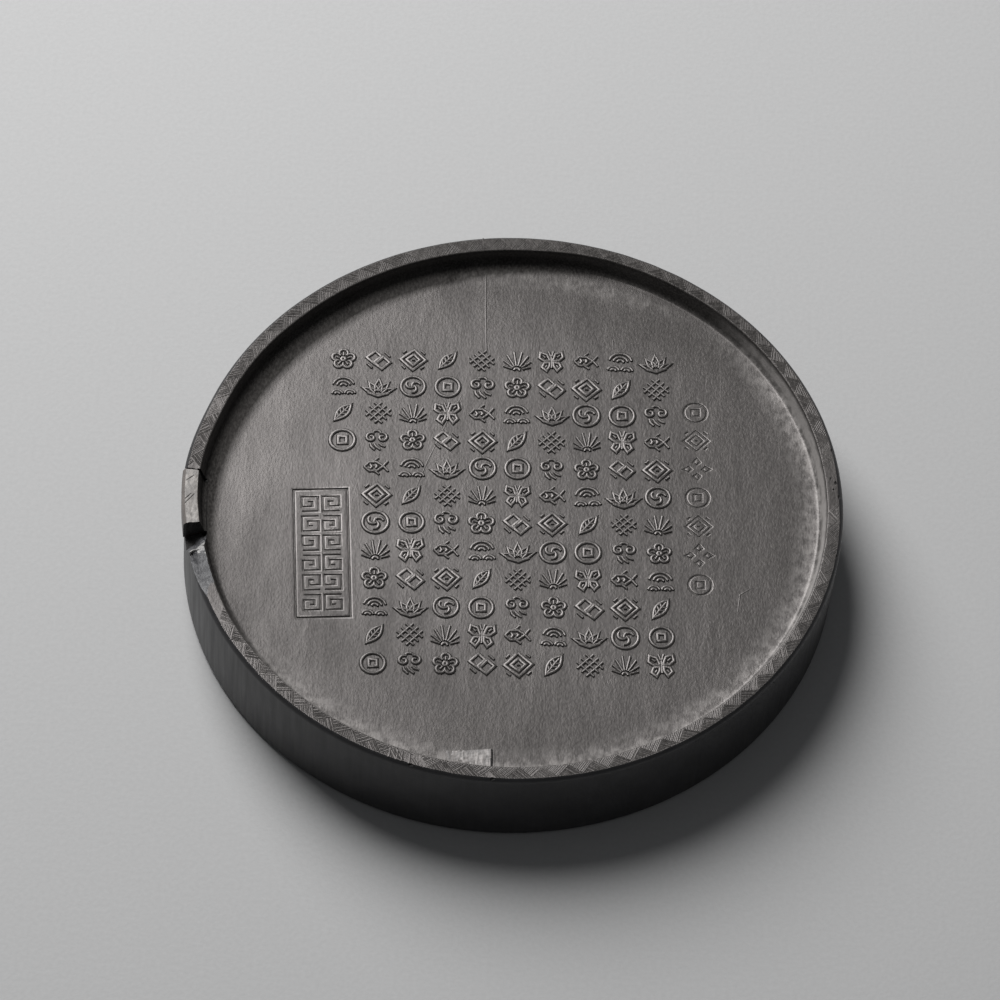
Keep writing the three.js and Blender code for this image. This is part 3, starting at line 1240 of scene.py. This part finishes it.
def hatch_tooth(bm, mesh, start_angle, height, z, up):
    """One triangle that points out and the one after it that points in."""
    depth = carved_outer - carved_inner
    for i in range(lines_per_tooth):
        share = i / lines_per_tooth
        reach = depth * (1 - share)
        if reach < shortest_line:
            continue
        shift = tooth_angle / 2 * (1 - share)
        for foot_angle, foot, tip in (
            (start_angle + tooth_angle * (1 - share), carved_inner, carved_inner + reach),
            (start_angle + tooth_angle * (1.5 - share), carved_outer, carved_outer - reach),
        ):
            slip = hands.uniform(-sideways_play, sideways_play)
            play = hands.uniform(-lengthways_play, lengthways_play)
            strength = height * hands.uniform(least_strength, 1.0)
            start, end = (foot_angle + slip, foot + play), (foot_angle - shift + slip, tip + play)
            if up > 0 and any(in_nick(*spot) or in_break(spot[0]) for spot in (start, end)):
                continue
            lay_prism(bm, mesh, start, end, hatch_width, strength, z, up)


def rim_strength(angle):
    """How deep the carving still is: lost near the break and rubbed away on the right."""
    if crack_angle - 1 < angle < gap_end_outer + 2:
        return 0.0
    rubbed = smoothstep(worn_end - 4, worn_end + 3, angle) if 180 < angle < 215 else 1.0
    right = min(1.0, abs((angle + 180) % 360 - 183) / 14)
    patchy = 0.85 + 0.6 * noise.noise((angle * 0.13, 2.0, 0.0))
    return carving_height * min(1.0, rubbed * right * patchy)


least_height = 0.02
prism = make_prism()
carving = bmesh.new()
for tooth in range(tooth_count):
    strength = rim_strength(tooth * tooth_angle)
    if strength > least_height:
        hatch_tooth(carving, prism, tooth * tooth_angle, strength, rim_z, 1)
bar_angles = (249.3, 250.7, 251.6, 253.0)
bar_width = 0.55
for bar in bar_angles:
    start, end = (bar, rim_inner + 0.5), (bar + 0.45, ink_radius + 0.05)
    lay_prism(carving, prism, start, end, bar_width, carving_height)
settle(carving)
fragment_lines = (
    ((178.4, 63.9), (177.2, 62.5)), ((183.2, 63.9), (181.2, 62.1)), ((182.3, 63.9), (181.1, 62.7)),
)
scratch_width = 0.22
scratch_height = 0.05
for start, end in fragment_lines:
    lay_prism(carving, prism, start, end, scratch_width, scratch_height)
finish_piece(carving, "rim_carving", [ink], sharp=20)

# %% The same band on the lower rim
lower_carving = bmesh.new()
for tooth in range(tooth_count):
    hatch_tooth(lower_carving, prism, tooth * tooth_angle, 0.85 * carving_height, lower_rim_z, -1)
finish_piece(lower_carving, "lower_rim_carving", [ink], sharp=20)

# %% [markdown]
# ## The raised marks
#
# Ten columns of raised ornaments fill the middle of the field. The block stands a degree or
# two off square, as the carver's board did, and each mark has a little play of its own. The
# ornaments follow each other in a fixed order that shifts from column to column.

# %% Raise the marks on the field
block_origin = Vector((-41.5, 34.3))
block_column = Vector((6.876, 0.171))
block_row = Vector((0.190, -6.478))
block_columns = 10
block_rows = 12
short_column_rows = 4
mark_width = 0.8
mark_height = 0.36
mark_play = 0.12
mark_turn = 1.6
turn_play = 3
least_scale, most_scale = 1.04, 1.13


def ornament_meshes():
    meshes = []
    for shape in ornaments:
        mark = bmesh.new()
        for path, closed in shape():
            carve_line(mark, path, mark_width, mark_height, raised_section, closed)
        meshes.append(as_mesh(mark, shape.__name__))
    return meshes


marks = bmesh.new()
shapes = ornament_meshes()
for column in range(1, block_columns + 1):
    for row in range(short_column_rows if column == 1 else block_rows):
        spot = block_origin + block_column * column + block_row * row
        spot += Vector([hands.uniform(-mark_play, mark_play) for _ in range(2)])
        mesh = shapes[(5 * column + row) % len(shapes)]
        scale = hands.uniform(least_scale, most_scale)
        turn = mark_turn + hands.uniform(-turn_play, turn_play)
        stamp(marks, mesh, on_field(spot.x, spot.y, turn, scale))
finish_piece(marks, "raised_marks", [worn_ink], sharp=30)

# %% [markdown]
# ## The mould's joint, and scratches
#
# The board was made of two planks, and the ink crept into the joint between them. It left a
# fine ridge over the rim and down the field, and a scrap of pressed-out ink by the near wall,
# which is a small ragged sheet with one torn end. Later scratches raised a fine burr, which
# catches the light. Each line has a path, a width, a height and the level that it stands on.

# %% The joint's ridge and the scratches' burrs
joint_paths = (
    ([(-8.05, 63.1), (-7.85, 60.95)], 0.34, 0.05, rim_z),
    ([(-7.15, 58.9), (-7.05, 55.0), (-6.9, 50.0), (-6.5, 40.0), (-6.3, 36.0)], 0.4, 0.05, field_z),
    ([(-2.0, -55.4), (-1.9, -59.2)], 0.3, 0.16, field_z),
)
scratch_paths = (
    [(-10.9, 26.8), (-13.6, 20.2), (-17.1, 10.6), (-19.65, 2.45)],
    [(18.75, 41.5), (18.8, 39.0)],
    [(46.5, -16.6), (44.2, -18.3), (43.8, -22.2)],
)
burr = (0.34, 0.05, field_z)
fine_lines = bmesh.new()
for path, width, height, z in (*joint_paths, *((path, *burr) for path in scratch_paths)):
    spot = Matrix.Translation((0, 0, z))
    place(fine_lines, [(path, False)], width, height, raised_section, spot, taper=0.4)
settle(fine_lines)
finish_piece(fine_lines, "mould_joint", [ink])

# %% The scrap of pressed-out ink
scrap_top = (Vector((-11.8, -55.6)), Vector((-2.3, -54.9)))
scrap_foot = (Vector((-12.6, -57.9)), Vector((-2.1, -59.0)))
scrap_height = 0.09
scrap_lip = 0.2
scrap_sink = 0.02
torn_x = -2.7


def make_scrap():
    bm = bmesh.new()
    bmesh.ops.create_grid(bm, x_segments=70, y_segments=30, size=0.5)
    for vert in bm.verts:
        u, v = vert.co.x + 0.5, vert.co.y + 0.5
        foot, top = (pair[0].lerp(pair[1], u) for pair in (scrap_foot, scrap_top))
        spot = foot.lerp(top, v)
        edge = min(1.0, u * 2, v * 2, (1 - v) * 6)
        end = min(1.0, (1 - u) * 20)
        streaks = noise.noise((spot.x * 2.6, spot.y * 0.4, 3.0))
        crumbs = noise.noise((spot.x * 1.5, spot.y * 2.0, 6.0))
        height = scrap_height * edge + 0.05 * streaks + 0.05 * crumbs - scrap_sink
        height = (height + scrap_lip * u ** 4) * end - scrap_sink * (1 - end)
        vert.co = (spot.x, spot.y, field_z + max(-0.1, height))
    for face in bm.faces:
        face.material_index = int(face.calc_center_median().x > torn_x)
    close_sheet(bm, field_z - 0.3)
    return bm


finish_piece(make_scrap(), "joint_scrap", [pale_scrap, broken_ink_and_shade])

# %% [markdown]
# ## Floor, light and camera
#
# The cake lies on a pale sheet under one large soft light, high at the back and a little to
# the left. It stands about a metre away, so the sheet is brightest near it. A faint even
# light fills the shadows. The camera looks down on the cake through a long lens.

# %% The floor
sheet_tones = ((0.448, 0.448, 0.448), (0.472, 0.472, 0.472))


def make_floor():
    material, tree, shader = new_material("paper_sheet", sheet_tones[0], 0.9, 0.2)
    fibres = add_noise(tree, 1100)
    share = remap(tree, fibres, 0.3, 0.7, 0.0, 1.0)
    feed(tree, shader.inputs["Base Color"], blend_colours(tree, share, *sheet_tones))
    add_bump(tree, shader, [(fibres, 0.034)])
    bm = bmesh.new()
    bmesh.ops.create_grid(bm, x_segments=4, y_segments=4, size=4.0)
    mesh = bpy.data.meshes.new("floor")
    bm.to_mesh(mesh)
    bm.free()
    mesh.materials.append(material)
    add_object("floor", mesh)


make_floor()


# %% The light
def aim(item, target):
    item.rotation_euler = (target - item.location).to_track_quat("-Z", "Y").to_euler()


light_azimuth = 120
light_elevation = 47
light_distance = 1.0
light_flat = polar(light_azimuth, math.cos(math.radians(light_elevation)))
light_direction = Vector((*light_flat, math.sin(math.radians(light_elevation))))
lamp = bpy.data.lights.new("window", "AREA")
lamp.shape = "ELLIPSE"
lamp.size = 0.55
lamp.size_y = 0.95
lamp.energy = 14.4
window = add_object("window", lamp)
window.location = light_direction * light_distance
aim(window, Vector((0, 0, 0)))

world = bpy.data.worlds.new("room")
bpy.context.scene.world = world
world.use_nodes = True
room = world.node_tree.nodes["Background"]
room.inputs["Color"].default_value = (0.95, 0.97, 1.0, 1)
room.inputs["Strength"].default_value = 0.10

# %% The camera
camera_elevation = 55.741
camera_distance = 0.9511
camera_roll = 1.896
camera_lens = 176.34
camera_shift = (-0.01453, -0.00192)


def make_camera():
    target = Vector((lean / 2, 0, thickness)) * METRE
    tilt = math.radians(camera_elevation)
    data = bpy.data.cameras.new("camera")
    data.lens = camera_lens
    data.sensor_width = 36
    data.shift_x, data.shift_y = camera_shift
    camera = add_object("camera", data)
    camera.location = target + camera_distance * Vector((0, -math.cos(tilt), math.sin(tilt)))
    look = (target - camera.location).to_track_quat("-Z", "Y").to_matrix()
    turn = Matrix.Rotation(math.radians(camera_roll), 3, "Z")
    camera.rotation_euler = (look @ turn).to_euler()
    bpy.context.scene.camera = camera


make_camera()
bpy.context.scene.view_settings.view_transform = "Standard"
